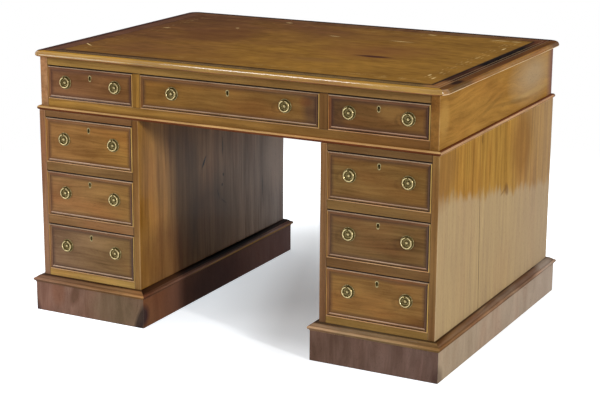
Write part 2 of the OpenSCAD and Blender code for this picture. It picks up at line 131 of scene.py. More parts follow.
def add_node(tree, kind, inputs=(), stops=None, **settings):
    """Adds one shader node. kind is its type, with its operation after a dot. inputs are the values of its
    sockets, in their order or by name or number, or the nodes or sockets that they come from. settings are
    its properties, and stops the places and colours of a colour ramp. A colour may be an sRGB hex value."""
    kind, _, operation = kind.partition(".")
    made = tree.nodes.new("ShaderNode" + kind)
    if operation:
        made.operation = operation
    for key, value in settings.items():
        setattr(made, key, value)
    for key, value in (inputs.items() if isinstance(inputs, dict) else enumerate(inputs)):
        socket = made.inputs[key]
        if isinstance(value, bpy.types.Node):
            value = next(output for output in value.outputs if output.enabled)
        if isinstance(value, bpy.types.NodeSocket):
            tree.links.new(value, socket)
        elif socket.type == "RGBA":
            socket.default_value = (*hex_colour(value), 1)
        else:
            socket.default_value = value
    if stops:
        points = made.color_ramp.elements
        while len(points) < len(stops):
            points.new(1)
        for point, (place, colour) in zip(points, stops):
            point.position = place
            point.color = (*hex_colour(colour), 1)
    return made


def new_material(name):
    """An empty node material, and what adds a node to it."""
    material = bpy.data.materials.new(name)
    material.use_nodes = True
    material.node_tree.nodes.clear()
    return material, partial(add_node, material.node_tree)


SPREAD = (0.36, 0.64)    # a mean of a few noises stays about within these values


def place_in_mm(add):
    """The point's place on the desk, in mm."""
    return add("VectorMath.SCALE", {0: add("TexCoord").outputs["Object"], "Scale": 1 / MM})


def variation(add, place, size, shift=(0, 0, 0), detail=2.0):
    """Soft random variation from 0 to 1, in patches of this size in mm. shift keeps two patterns apart."""
    scaled = add("Mapping", {"Vector": place, "Location": shift, "Scale": [1 / s for s in size]})
    return add("TexNoise", {"Vector": scaled, "Scale": 1, "Detail": detail})


def mark(add, colour, place, centre, size, code, strength=1.0, turn=0, core=0.5, axis=0):
    """Paints one local mark, such as a knot, stain, dent or scratch. size is its half length along each axis
    in mm, turn its angle about one axis, and core how far out its full strength reaches."""
    turned = [turn if i == axis else 0 for i in range(3)]
    near = add("Mapping", {"Vector": place, "Location": centre, "Rotation": turned, "Scale": size},
               vector_type="TEXTURE")
    spot = add("TexGradient", {"Vector": near}, gradient_type="SPHERICAL")
    share = add("MapRange", {"Value": spot, "From Max": core, "To Max": strength})
    return add("Mix", {"Factor": share, 6: colour, 7: code}, data_type="RGBA")


def marks(rows, axis=0):
    """What paints the marks of a table, each row with what mark() takes, turned about one axis."""
    def paint(add, colour, place):
        for row in rows:
            colour = mark(add, colour, place, *row, axis=axis)
        return colour
    return paint


def wood(name, streak=(700, 15), hair=4, hairy=0.2, sway=20, contrast=1.0, cloud=0.3, redness=0.3, gloss=0.38,
         shine=0.03, coat=0.06, edge=(0, 2, 0.4), crevice_shade=0.6, soil_and_shade_tone="#2B1A12", paint=None):
    """Mahogany, planed, stained, french polished and waxed for a century. The figure is streaks and hair
    lines along the grain, clouds of darker stain, redder patches and short open pores; wax and dirt darken
    the edges of a board and painted shade its crevices, handling and a painted highlight pale its arrises,
    and the sheen is soft and uneven.
    It reads the attributes that dress() lays: grain, stain, reach and worn. streak is the length and width
    of the streaks, hair the width of the hair lines and sway how far the grain bends, all in mm, and hairy
    and cloud are shares of the figure. edge is how far in from a board's edge its dirt starts, how wide it
    is, in mm, and how dark. paint lays the marks of single boards."""
    material, add = new_material(name)
    grain, stain = [add("Attribute", attribute_name=layer).outputs["Vector"] for layer in ("grain", "stain")]
    bends = variation(add, grain, (260, 75, 75), detail=1.5).outputs["Color"]
    bent = add("VectorMath.MULTIPLY_ADD", (bends, (0, sway, sway), grain))
    broad = variation(add, bent, (streak[0], streak[1], streak[1]), detail=4)
    hairs = variation(add, bent, (150, hair, hair), (5, 1, 8))
    clouds = variation(add, grain, (150, 65, 65), (3, 6, 1), 2.5)
    shares = (1 - hairy - cloud, hairy, cloud)
    figure = add("VectorMath.DOT_PRODUCT", (add("CombineXYZ", (broad, hairs, clouds)), shares))
    level = add("MapRange", (figure, *SPREAD))
    # the dark lines are a little redder than the light ones
    tone = add("VectorMath.MULTIPLY_ADD", (level, [contrast * v for v in (0.8, 0.9, 0.99)],
                                           [1 - contrast * v for v in (0.4, 0.46, 0.51)]))
    colour = add("VectorMath.MULTIPLY", (stain, tone))
    redder = add("VectorMath.MULTIPLY", (colour, (1.02, 0.74, 0.66)))
    where = add("MapRange", (variation(add, grain, (230, 90, 90), (9, 2, 7)), 0.48, 0.66, 0, redness))
    colour = add("Mix", {"Factor": where, 6: colour, 7: redder}, data_type="RGBA")
    if paint:
        colour = paint(add, colour, place_in_mm(add))
    # pores are drawn wider than the quarter of a millimetre that they have, to show in the render
    open_pores = add("MapRange", (variation(add, bent, (12, 0.9, 0.9), detail=1), 0.6, 0.7, 1, 0.75))
    colour = add("VectorMath.SCALE", {0: colour, "Scale": open_pores})

    inset, width, depth = edge
    reach = add("Attribute", attribute_name="reach")
    to_edge = add("SeparateColor", (reach.outputs["Color"],))
    nearest = add("Math.MINIMUM", (reach.outputs["Alpha"], to_edge.outputs[2]))
    for other in to_edge.outputs[:2]:
        nearest = add("Math.MINIMUM", (nearest, other))
    ragged = add("Math.MULTIPLY_ADD", (clouds, -width, nearest))
    rim = add("MapRange", (ragged, inset - 0.5 * width, inset + 0.5 * width, depth, 0.0))
    # painted shade: ambient occlusion darkens the crevices, and joins the dirt along the board's edges
    hollow = add("AmbientOcclusion", {"Distance": 6 * MM}, samples=4, only_local=True).outputs["AO"]
    occluded_shade = add("MapRange", (hollow, 0.4, 0.86, crevice_shade, 0.0))
    soil_and_shade_share = add("Math.MAXIMUM", (rim, occluded_shade))
    colour = add("Mix", {"Factor": soil_and_shade_share, 6: colour, 7: soil_and_shade_tone}, data_type="RGBA")
    # handling pales the arrises, and the same paler colour is a painted highlight on them
    pale_wear_and_highlight = add("VectorMath.MULTIPLY_ADD", (colour, (1.6, 1.7, 1.9), (0.06, 0.05, 0.03)))
    worn = add("Attribute", attribute_name="worn").outputs["Fac"]
    rubbed = add("Math.MULTIPLY", (worn, add("MapRange", (clouds, 0.38, 0.58, 0.25, 0.9))))
    colour = add("Mix", {"Factor": rubbed, 6: colour, 7: pale_wear_and_highlight}, data_type="RGBA")

    sheen = add("MapRange", (clouds, 0.3, 0.7, gloss - 0.06, gloss + 0.1))
    height = add("Math.MULTIPLY_ADD", (hairs, 0.4, open_pores))
    relief = add("Bump", {"Height": height, "Strength": 0.25, "Distance": 0.06 * MM})
    surface = add("BsdfPrincipled", {"Roughness": sheen, "Normal": relief, "Coat Normal": relief,
                                     "Specular IOR Level": shine, "Coat Weight": coat, "Coat Roughness": 0.1,
                                     "Base Color": colour})
    add("OutputMaterial", {"Surface": surface})
    return material


# Where single boards are marked: centre and half length along each axis in mm, colour, strength, and for some
# their turn and how far out the full strength reaches.
# Outer side of a pedestal: darker patches, a knot with its tail, and a short dark fleck above the joint.
OUTER_SIDE = (
    ((612, 175, 505), (40, 100, 120), "#7C5426", 0.6), ((612, -410, 545), (40, 120, 110), "#7C5830", 0.6),
    ((612, 61, 400), (40, 16, 26), "#6B4A26", 0.7, 0.6), ((612, 35, 398), (40, 26, 5), "#6B4A26", 0.5, 0.3),
    ((612, -137, 580), (40, 5, 18), "#4A2E18", 0.6),
)
# Side that faces the kneehole, knocked and scratched by chairs. Its two broad dark patches are painted
# shadow, and the pale patch at its back is painted light.
KNEEHOLE_SIDE = (
    ((-280, -40, 200), (40, 190, 200), "#2A1E14", 0.55),
    ((-280, -190, 330), (40, 110, 380), "#2E2116", 0.45),
    ((-280, -75, 403), (40, 5.2, 25), "#060404", 1.0, -0.62),
    ((-280, 35, 430), (40, 3.4, 34), "#1E1612", 0.9), ((-280, 39, 341), (40, 5, 7), "#14100E", 0.9, 0.3),
    ((-280, 32, 311), (40, 5, 6), "#14100E", 0.9), ((-280, 8, 288), (40, 3.4, 26), "#2B211B", 0.6, 0.45),
    ((-280, 40, 258), (40, 3.4, 24), "#2B211B", 0.5, 1.0), ((-280, 286, 250), (40, 4, 44), "#2A2220", 0.7),
    ((-280, -80, 540), (40, 70, 60), "#5A4636", 0.5), ((-280, -300, 170), (40, 170, 130), "#5E3A1E", 0.5),
    ((-280, 400, 330), (40, 130, 140), "#A08C7C", 0.6),
)
# End of the frieze: low waves of figure that rise along the board, paler and greyer at the back.
FRIEZE_END = (
    ((607, 260, 690), (60, 220, 90), "#A08C6E", 0.7, 0, 0.8),
    ((607, 445, 670), (60, 72, 400), "#6E4E48", 0.95, 0, 0.6),
    ((607, 235, 641), (40, 190, 10), "#AC905C", 0.3),
    ((607, 100, 638), (40, 200, 8), "#6A4C24", 0.4, -0.09),
    ((607, -395, 680), (40, 40, 60), "#B08A4A", 0.35),
    ((607, -60, 660), (40, 110, 9), "#7A5828", 0.5, 0.22),
)
# Plinth boards: flame veneer with dark worn corners, a redder patch, and a broad patch of painted shadow on
# the kneehole side of the left one.
PLINTH_FRONTS = (
    ((-262, -60, 40), (60, 300, 120), "#2A242A", 0.6, 0, 0.7),
    ((-270, -448, 24), (19, 40, 66), "#2A1E24", 0.9, 0.38),
    ((-636, -448, 4), (24, 40, 52), "#3A2C30", 0.7, -0.3),
    ((-554, -448, 66), (30, 40, 56), "#80523A", 0.45),
    ((-494, -448, 66), (18, 40, 44), "#553A28", 0.55, 0.3),
    ((-360, -448, 40), (110, 40, 70), "#6E6248", 0.4), ((636, -448, 10), (30, 40, 50), "#3E2C28", 0.5, 0.2),
)
# Caps of the plinths: black in the kneehole with dirt and painted shadow, a painted highlight along the nose
# there, and patchy outside.
PLINTH_CAPS = (
    ((-276, 75, 102), (23, 345, 60), "#080505", 1.0, 0, 0.6),
    ((-270, -330, 104), (24, 130, 40), "#5A3A24", 0.5),
    ((-256, 170, 91.5), (3.5, 430, 4.5), "#9A7642", 0.9, 0, 0.45),
    ((632, 190, 100), (40, 100, 30), "#5A3A24", 0.7), ((632, -55, 100), (40, 50, 30), "#5E3A22", 0.4),
    ((632, 370, 103), (40, 70, 30), "#94887A", 0.6),
)
# Single drawer fronts: darker ends, and paler or redder patches.
DRAWER_FIELDS = (
    ((257, -427, 676), (40, 60, 70), "#3E3030", 0.5), ((232, -427, 695), (22, 60, 16), "#6E3C22", 0.4),
    ((478, -427, 690), (50, 60, 30), "#9A7440", 0.5), ((318, -427, 670), (40, 60, 70), "#3A2C26", 0.35),
)
# Crossbanding: redder and paler towards the front corner, and a stretch that old polish turned nearly black.
CROSSBAND = (
    ((580, -240, 762), (40, 140, 60), "#2E1810", 0.8), ((582, -385, 762), (40, 90, 60), "#94653A", 0.7),
    *(((574, y, 762), (34, 110, 60), "#0C0708", 1.0, 0, 0.85) for y in (-30, 60, 150, 240)),
    ((590, 395, 762), (60, 60, 60), "#5A3020", 0.6),
)
# Solid lipping: dark patches where rings and ink have stained it.
LIPPING_TOP = (
    ((608, -322, 762), (14, 46, 20), "#24140E", 0.9), ((606, 60, 762), (12, 200, 20), "#4A2A16", 0.6),
)
# Nosing on the right: a painted shadow line by the front corner, and brown with old polish at the back one.
RIGHT_NOSING = (
    ((634, -330, 752), (40, 110, 40), "#4A3418", 0.7), ((628, 430, 758), (60, 110, 40), "#4A3020", 0.8),
)
# Bead round the waist: bruised grey where it turns the corner at the back.
WAIST_BEAD = (
    ((618, 450, 601), (30, 40, 30), "#4E4242", 0.8, 0, 0.7),
)
# Leather: redder and darker patches, and a burn.
LEATHER_STAINS = (
    ((240, 10, 762), (210, 170, 90), "#6A3E24", 0.6, 0.5, 0.9),
    ((262, -72, 762), (70, 20, 40), "#3A1814", 0.95, 0, 0.6),
    ((150, -190, 762), (90, 40, 40), "#6E4C26", 0.5), ((-300, 60, 762), (150, 160, 60), "#54301A", 0.6),
    ((-500, 260, 762), (170, 130, 60), "#4A2C1A", 0.4),
    ((-230, -320, 762), (280, 120, 60), "#66421E", 0.45),
)
# Leather: a scratch, and the places where the gold of the fillets is best kept: middle, half sizes and turn.
LEATHER_GOLD = (
    ((-548, -268), (38, 2.6), -0.7), ((-318, 197), (7, 5), 0.3), ((226, 199), (44, 3.4), 0),
    ((12, 197), (22, 3.4), 0), ((-228, 366), (14, 5), 0), ((-513, 104), (16, 3.4), 0),
    ((258, 352), (18, 5), 0), ((533, 212), (4, 22), 0), ((473, 347), (34, 4), 0), ((521, 347), (20, 4), 0),
    ((507, -258), (4, 14), 0), ((533, -296), (4, 16), 0),
)
# Outer side of a pedestal, in mm: the heights between which its painted reflection of the pale floor ends,
# how far that limit falls for each mm towards the back, and how far it wanders. The joint of its two boards:
# place, half width and lean.
REFLECTION_LOW, REFLECTION_HIGH, REFLECTION_FALL, REFLECTION_WANDER = 436, 474, 0.16, 90
JOINT_AT, JOINT_HALF, JOINT_LEAN = -124, 1.4, 0.045
# Lines in the crossbanding: middle from the leather's edge and half width in mm, colour and strength.
CROSSBAND_LINES = ((3, 3.5, "#1C1210", 0.85), (22, 1.2, "#A88C66", 0.5), (33, 1.2, "#B89C70", 0.4),
                   (36, 1.5, "#2A1A12", 0.7))
# Tooling of the leather, in mm: a fillet's half width, from one fillet to the next, half the length of the
# roll's repeat, and the size of its lozenges. All are drawn wider than real ones, to show in the render.
FILLET_HALF, FILLETS_APART, ROLL_HALF, LOZENGE = 1.5, 26, 8, 5
PLATE_RADIUS = 20      # mm over which the rings of patina and painted shade on a plate are given


def side_with_painted_reflection(add, colour, place):
    """Outer side of a pedestal. Its lower part carries a painted reflection of the pale floor, a greyish
    beige with a soft, wandering upper limit that falls towards the back, and the board is greyer towards the
    back.
    An old glue joint shows between its two boards."""
    part = add("SeparateXYZ", (place,))
    wander = variation(add, place, (60, 26, 90), (4, 4, 4), 3)
    slope = add("Math.MULTIPLY_ADD", (part.outputs["Y"], REFLECTION_FALL, part.outputs["Z"]))
    height = add("Math.MULTIPLY_ADD", (wander, REFLECTION_WANDER, slope))
    # painted reflection of the pale floor on the lower part of the board
    low = add("MapRange", (height, REFLECTION_LOW, REFLECTION_HIGH, 1, 0), interpolation_type="SMOOTHSTEP")
    reflection_grey = add("VectorMath.MULTIPLY", (colour, (1.12, 1.42, 2.45)))
    even = add("Mix", {"Factor": 0.6, 6: reflection_grey, 7: "#A28C70"}, data_type="RGBA")
    colour = add("Mix", {"Factor": low, 6: colour, 7: even}, data_type="RGBA")
    grey = add("MapRange", (part.outputs["Y"], 60, 440, 0, 0.45))
    colour = add("Mix", {"Factor": grey, 6: colour, 7: "#988674"}, data_type="RGBA")
    colour = marks(OUTER_SIDE)(add, colour, place)
    # the joint leans a little, and is dirtier low down
    lean = add("Math.MULTIPLY_ADD", (part.outputs["Z"], JOINT_LEAN, part.outputs["Y"]))
    line = add("Math.COMPARE", (lean, JOINT_AT, JOINT_HALF))
    share = add("MapRange", (part.outputs["Z"], 330, 560, 0.85, 0.5))
    joint = add("Math.MULTIPLY", (line, share))
    return add("Mix", {"Factor": joint, 6: colour, 7: "#3A2A1C"}, data_type="RGBA")


def crossband_lines(leather):
    """The border of the top: a dark line against the leather, cross-grained veneer with two light strings,
    a dark line against the lipping, and a stretch on the right that old polish turned nearly black. The
    lines are clear at the front and on the right, where the top is cleaned, and lost at the back."""
    def paint(add, colour, place):
        colour = marks(CROSSBAND)(add, colour, place)
        corner = (leather.x / MM, leather.y / MM, 0)
        outward = add("VectorMath.SUBTRACT", (add("VectorMath.ABSOLUTE", (place,)), corner))
        apart = add("SeparateXYZ", (outward,))
        beyond = add("Math.MAXIMUM", (apart.outputs["X"], apart.outputs["Y"]))
        # above 0 on the front right half of the top, up to its diagonal
        near = add("VectorMath.DOT_PRODUCT", (place, (1 / 599, -1 / 417, 0)))
        kept = add("MapRange", (near, -0.1, 0.1))
        for middle, half, code, strength in CROSSBAND_LINES:
            line = add("Math.COMPARE", (beyond, middle, half))
            share = add("Math.MULTIPLY", (line, add("Math.MULTIPLY", (kept, strength))))
            colour = add("Mix", {"Factor": share, 6: colour, 7: code}, data_type="RGBA")
        return colour
    return paint


def tooled_calf(name, settings, low, high):
    """Vegetable-tanned calf, glued to the top, tooled with a gilt border and worn by use: olive gold, redder
    brown towards the back and the left, rubbed paler in streaks along the desk, with a fine grain, a few
    stains and scratches, and what is left of the gold."""
    material, add = new_material(name)
    place = place_in_mm(add)
    part = add("SeparateXYZ", (place,))
    cloud = variation(add, place, (260, 170, 1000), detail=4)
    rubbed = variation(add, place, (120, 42, 1000), (2, 5, 1), 4)
    fine = variation(add, place, (36, 14, 1000), (7, 3, 1), 2)
    # the pores of the hide, drawn coarser than they are, to show in the render
    pebble = add("TexVoronoi", {"Vector": place, "Scale": 1 / 1.6}, feature="DISTANCE_TO_EDGE").outputs[0]
    # redder towards the left and the back
    lean = add("VectorMath.DOT_PRODUCT", (place, (-0.0009, 0.0006, 0)))
    red = add("Math.MULTIPLY_ADD", (cloud, 1.3, lean))
    red = add("MapRange", (red, 0.45, 1.2, 0, 0.95))
    figure = add("VectorMath.DOT_PRODUCT", (add("CombineXYZ", (cloud, rubbed, fine)), (0.25, 0.4, 0.35)))
    level = add("MapRange", (figure, *SPREAD))
    tone = add("VectorMath.MULTIPLY_ADD", (level, (0.6, 0.66, 0.76), (0.7, 0.67, 0.62)))
    hide = add("Mix", {"Factor": red, 6: settings.hide, 7: "#58361E"}, data_type="RGBA")
    hide = add("VectorMath.MULTIPLY", (hide, tone))
    hide = marks(LEATHER_STAINS, axis=2)(add, hide, place)
    for centre, size, turn in LEATHER_GOLD:
        centre, size = (*centre, high.z / MM), (*size, 20)
        hide = mark(add, hide, place, centre, size, "#E2C68A", 0.85, turn, 0.7, axis=2)
    # distance in mm from the nearest edge of the leather
    half = ((high - low) / 2) / MM
    away = add("VectorMath.ABSOLUTE", (place,))
    inside = add("SeparateXYZ", (add("VectorMath.SUBTRACT", ((half.x, half.y, 0), away)),))
    edge = add("Math.MINIMUM", (inside.outputs[0], inside.outputs[1]))
    far = add("Math.MAXIMUM", (inside.outputs[0], inside.outputs[1]))
    # two fillets, and a roll of lozenges between them
    inset = settings.border / MM
    gold = add("Math.MAXIMUM", [add("Math.COMPARE", (edge, at, FILLET_HALF))
                                for at in (inset, inset + FILLETS_APART)])
    run = add("Math.SUBTRACT", (add("Math.PINGPONG", (far, ROLL_HALF)), ROLL_HALF / 2))
    side = add("Math.SUBTRACT", (edge, inset + FILLETS_APART / 2))
    reach = add("Math.ADD", (add("Math.ABSOLUTE", (run,)), add("Math.ABSOLUTE", (side,))))
    gold = add("Math.MAXIMUM", (gold, add("Math.LESS_THAN", (reach, LOZENGE))))
    worn = variation(add, place, (34, 24, 1000), (1, 1, 1), 5)
    left = add("MapRange", (worn, 0.5, 0.66, 0, 0.45))
    # most of the gold is left at the right end, in its two corners
    kept = add("MapRange", (part.outputs["X"], 100, 480, 0.3, 1))
    leaf = add("Math.MULTIPLY", (gold, add("Math.MULTIPLY", (kept, left))))
    # dirt and painted shade of the gap along the leather's edge
    soil_and_shade_share = add("MapRange", (edge, 0.5, 5, 0.75, 0))
    hide = add("Mix", {"Factor": soil_and_shade_share, 6: hide, 7: "#1E1210"}, data_type="RGBA")
    colour = add("Mix", {"Factor": leaf, 6: hide, 7: settings.gilt}, data_type="RGBA")
    gloss = add("MapRange", (rubbed, 0.3, 0.7, 0.4, 0.56))
    height = add("Math.MULTIPLY_ADD", (gold, -1.0, add("Math.MINIMUM", (pebble, 0.35))))
    relief = add("Bump", {"Height": height, "Strength": 0.35, "Distance": 0.12 * MM})
    surface = add("BsdfPrincipled", {"Base Color": colour, "Roughness": gloss, "Normal": relief,
                                     "Specular IOR Level": 0, "Coat Weight": 0.04, "Coat Roughness": 0.3})
    add("OutputMaterial", {"Surface": surface})
    return material


def aged_brass(name, settings, bright=1.0, gloss=0.30, profile=None):
    """Cast and turned brass, lacquer long gone: pale yellow metal where hands and cloths rub it, brown patina
    where they don't reach. profile is how dark a round piece is at each radius (attribute turned), from the
    boss and the rim, rubbed bright, to the hollow between them, with patina in the hollows and, on a back
    plate, painted shade just outside where its ring lies. The tool's fine grooves that run round it are
    drawn coarser than they are, to show in the render."""
    material, add = new_material(name)
    place = place_in_mm(add)
    spots = add("TexNoise", {"Vector": place, "Scale": 0.4, "Detail": 4, "Roughness": 0.65})
    spotted = add("MapRange", (spots, 0.42, 0.72, -0.15, 0.5))
    if profile:
        middle = add("Attribute", attribute_name="turned").outputs["Vector"]
        radius = add("VectorMath.LENGTH", (middle,))
        across = add("MapRange", (radius, 0, PLATE_RADIUS))
        dark = add("ValToRGB", {"Fac": across}, stops=[(r / PLATE_RADIUS, (d, d, d)) for r, d in profile])
        grooves = add("TexWave", {"Vector": add("CombineXYZ", (radius,)), "Scale": 0.35, "Distortion": 0.0})
    else:
        hollow = add("AmbientOcclusion", {"Distance": 3 * MM}, samples=4, only_local=True).outputs["AO"]
        dark = add("MapRange", (hollow, 0.35, 0.8, 0.8, 0.0))
        grooves = add("TexNoise", {"Vector": place, "Scale": 2.2, "Detail": 3})
    soil_and_shade_tone = add("Math.ADD", (dark, spotted), use_clamp=True)
    colour = add("Mix", {"Factor": soil_and_shade_tone, 6: [min(1, c * bright) for c in settings.polished],
                         7: settings.patina}, data_type="RGBA")
    rough = add("MapRange", (soil_and_shade_tone, 0, 1, gloss, 0.62))
    relief = add("Bump", {"Height": grooves, "Strength": 0.2, "Distance": 0.05 * MM})
    surface = add("BsdfPrincipled", {"Base Color": colour, "Roughness": rough, "Metallic": 1,
                                     "Normal": relief})
    add("OutputMaterial", {"Surface": surface})
    return material


def lock_steel(name):
    """Wrought steel of the lock bolts, filed bright and dulled by age."""
    material, add = new_material(name)
    spots = add("TexNoise", {"Vector": place_in_mm(add), "Scale": 0.3, "Detail": 5})
    tone = add("ValToRGB", {"Fac": spots}, stops=[(0.35, "#4E4A44"), (0.65, "#8A857C")])
    rough = add("MapRange", (spots, 0, 1, 0.34, 0.52))
    surface = add("BsdfPrincipled", {"Base Color": tone, "Metallic": 1.0, "Roughness": rough})
    add("OutputMaterial", {"Surface": surface})
    return material


# Pieces from the CAD boards

def cad_copy(name):
    """A merged copy of a CAD node's mesh, its flat faces made whole again."""
    bm = bmesh.new()
    bm.from_mesh(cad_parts[name].data)
    bmesh.ops.remove_doubles(bm, verts=bm.verts, dist=WELD)
    bmesh.ops.dissolve_limit(bm, angle_limit=FLAT, verts=bm.verts, edges=bm.edges,
                             use_dissolve_boundaries=False)
    return bm


def cut(bm, point, normal):
    """Cuts every face along a plane, and keeps both sides."""
    bmesh.ops.bisect_plane(bm, geom=bm.verts[:] + bm.edges[:] + bm.faces[:], dist=TOUCH, plane_co=point,
                           plane_no=normal)


def run_of(face, half):
    """Which run of a frame a face is in. half is the frame's inner or outer corner."""
    middle = face.calc_center_median()
    if abs(middle.x) - half.x > abs(middle.y) - half.y:
        return "right" if middle.x > 0 else "left"
    return "back" if middle.y > 0 else "front"


def mitre(bm, half):
    """Cuts a frame's top faces at its four mitres."""
    for sx in (-1, 1):
        for sy in (-1, 1):
            cut(bm, (sx * half.x, sy * half.y, 0), (sy, -sx, 0))


def soften(bm, width, shortest=6):
    """Rounds the long outer edges of the boards, as handling and polishing do, and marks them worn: wood()
    pales them for wear and as a painted highlight. An edge shorter than shortest widths stays crisp."""
    worn = bm.faces.layers.float.new("worn")
    sharp = [e for e in bm.edges if len(e.link_faces) == 2 and e.is_convex and e.calc_face_angle() > SHARP
             and e.calc_length() > shortest * width]
    if sharp:
        made = bmesh.ops.bevel(bm, geom=sharp, offset=width, offset_type="OFFSET", affect="EDGES",
                               segments=2, profile=0.5, material=-1, clamp_overlap=True)
        for face in made["faces"]:
            face[worn] = 1


def islands(bm):
    """The separate boards of a mesh, each as its list of faces."""
    seen, found = set(), []
    for start in bm.faces:
        if start in seen:
            continue
        seen.add(start)
        group, stack = [], [start]
        while stack:
            face = stack.pop()
            group.append(face)
            for edge in face.edges:
                for other in edge.link_faces:
                    if other not in seen:
                        seen.add(other)
                        stack.append(other)
        found.append(group)
    return found


def extent(faces):
    """Lowest and highest corner of some faces."""
    points = [v.co for f in faces for v in f.verts]
    return [Vector([end(p[i] for p in points) for i in range(3)]) for end in (min, max)]


def longest(size, axes=(0, 1, 2)):
    """The axis along which a size is longest."""
    return max(axes, key=lambda i: size[i])


def dress(bm, seed, finish, along=None):
    """Gives each face its material, and each board its own place in the wood pattern. finish(face, low, high)
    returns the material's index and the stain at the two ends of the face; along(face, low, high) the axis of
    the grain, which else is the board's longest. grain is mm along, across and through the board, stain the
    wood's colour, and reach the mm to the face's two ends and two long edges."""
    layers = bm.loops.layers
    grain, stain, reach = (layers.float_vector.new("grain"), layers.float_vector.new("stain"),
                           layers.float_color.new("reach"))
    worn = bm.faces.layers.float.get("worn")
    draw = random.Random(seed)
    for board in islands(bm):
        low, high = extent(board)
        size = high - low
        shift = Vector([draw.uniform(0, 4000) for _ in range(3)])
        for face in board:
            face.material_index, first, last = finish(face, low, high)
            # faces with the painted gap shade keep no pale arris
            if first == GAP_SHADE:
                face[worn] = 0
            first, last = (Vector(hex_colour(c)) for c in (first, last))
            axis = along(face, low, high) if along else longest(size)
            across = longest(size, [i for i in range(3) if i != axis])
            out_of = longest([abs(n) for n in face.normal])
            length = longest(size, [i for i in range(3) if i != out_of])
            width = 3 - length - out_of
            for loop in face.loops:
                p = loop.vert.co
                loop[grain] = Vector((p[axis], p[across], p[3 - axis - across])) / MM + shift
                loop[stain] = first.lerp(last, (p[length] - low[length]) / max(size[length], MM))
                loop[reach] = Vector((p[length] - low[length], high[length] - p[length],
                                      p[width] - low[width], high[width] - p[width])) / MM


def new_piece(bm, node, ending, materials, body="carcase"):
    """Makes an object of a bmesh, smooth but for its sharp edges, that rides on a body in place of a node."""
    for face in bm.faces:
        face.smooth = True
    for edge in bm.edges:
        edge.smooth = not (len(edge.link_faces) == 2 and edge.calc_face_angle(0) > SHARP)
    mesh = bpy.data.meshes.new(node + ending)
    bm.to_mesh(mesh)
    bm.free()
    if "custom_normal" in mesh.attributes:
        mesh.attributes.remove(mesh.attributes["custom_normal"])
    piece = bpy.data.objects.new(node + ending, mesh)
    bpy.context.scene.collection.objects.link(piece)
    for material in materials:
        mesh.materials.append(material)
    even = piece.modifiers.new("even_shading", "WEIGHTED_NORMAL")
    even.keep_sharp = True
    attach(piece, body)
    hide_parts(node)


def wooden(node, materials, seed, finish, body="carcase", along=None, arris=None, shortest=6):
    """A CAD node of boards as a finished piece."""
    bm = cad_copy(node)
    soften(bm, bpy.context.scene.desk_wood.arris if arris is None else arris, shortest)
    dress(bm, seed, finish, along)
    new_piece(bm, node, "_wood", materials, body)


def plain(node, ending, material, body="carcase", arris=None):
    """A CAD node of a single material as a finished piece."""
    bm = cad_copy(node)
    if arris:
        soften(bm, arris)
    for face in bm.faces:
        face.material_index = 0
    new_piece(bm, node, ending, [material], body)


# Widths of worn arrises: those of outer boards, rails, drawers and mouldings, and of the thinnest edges.
BOARD_ARRIS, RAIL_ARRIS, DRAWER_ARRIS = 2.2 * MM, 1.2 * MM, 0.5 * MM
MOULDING_ARRIS, THIN_ARRIS = 0.4 * MM, 0.3 * MM
LONG_EDGE = 25         # widths of an arris: what is shorter stays crisp, like the sockets of the lock bolts
# Shares of a face's normal along an axis from which it looks straight that way, mostly, halfway, partly, a
# little or barely.
STRAIGHT, MOSTLY, HALFWAY, PARTLY, LITTLE, BARELY = 0.95, 0.7, 0.5, 0.3, 0.2, 0.1
# Sizes and places in metres that tell the boards of one mesh apart.
WHOLE_WIDTH = 0.5      # a board longer than this runs along the desk's whole front or back
OVER_DRAWERS = 0.62    # the frieze's boards above this height border on a drawer
TOP_RAIL = 0.7         # its top rail lies above this one
BACK_FROM = 0.4        # its back board lies behind this
BACK_HEIGHT = 0.1      # and is higher than this
PEDESTAL_WIDE = 0.2    # a run longer than this crosses a pedestal
UPRIGHT = 0.3          # a pedestal's sides and back are higher than this, its runners and stops aren't
BACK_DEPTH = 0.1       # its back is thinner than this from front to back
# How far behind its face a drawer's planted mouldings and its front board reach, at most.
PLANTED_DEPTH, FRONT_DEPTH = 5 * MM, 30 * MM
# Where the quirk, ovolo and inner edge of those mouldings begin, in mm from the drawer's outer edge.
MOULDING_STEPS = (2.7, 4.2, 7.2)
RAIL_HEIGHTS = (126, 287, 444, 594)    # middles of a pedestal's rails, in mm, from the lowest up
# Brasses are told apart by size: a back plate with its stud is wider and deeper than the first, and a
# keyhole lining's height lies between the other two.
PLATE_SIZE, LINING_LOW, LINING_HIGH = 30 * MM, 15 * MM, 20 * MM
LINING_STRETCH = (3.6, 2.2)    # makes a lining as wide and high as a plate, so that its dirt is given alike

# The colour of each board, lighter on the left of the desk and darker on the right, a painted falloff of the
# front light over the boards' own stain. Two colours are those of its two ends.
FRIEZE_RAILS = {"top": ("#9B783E", "#806036"), "bottom": ("#9F7637", "#6F4D28"),
                "left": ("#9A7132", "#9A7132"), "right": ("#72502B", "#72502B")}
# Bead round the waist, from what looks up to what looks down, with the normal's least share upwards. Its
# colours are painted light and shade: a painted highlight along its middle, and painted shade below it at
# the front and on its top at the sides.
WAIST_SHADING = {"front": ((0.8, "#8E6636"), (0.1, "#C49C66"), (-2, "#6A3A20")),
              "side": ((0.6, "#6A3C20"), (-0.5, "#AC8660"), (-2, "#7A5030"))}
FRIEZE_STILES = {"left": ("#AB8159", "#AB8159"), "right": ("#875E2C", "#875E2C")}
PEDESTAL_RAILS = {"left": ("#AE8B4C", "#86633F", "#7C5D38", "#7F5B38"),
                  "right": ("#8B6B38", "#6F512E", "#7A5C34", "#725432")}
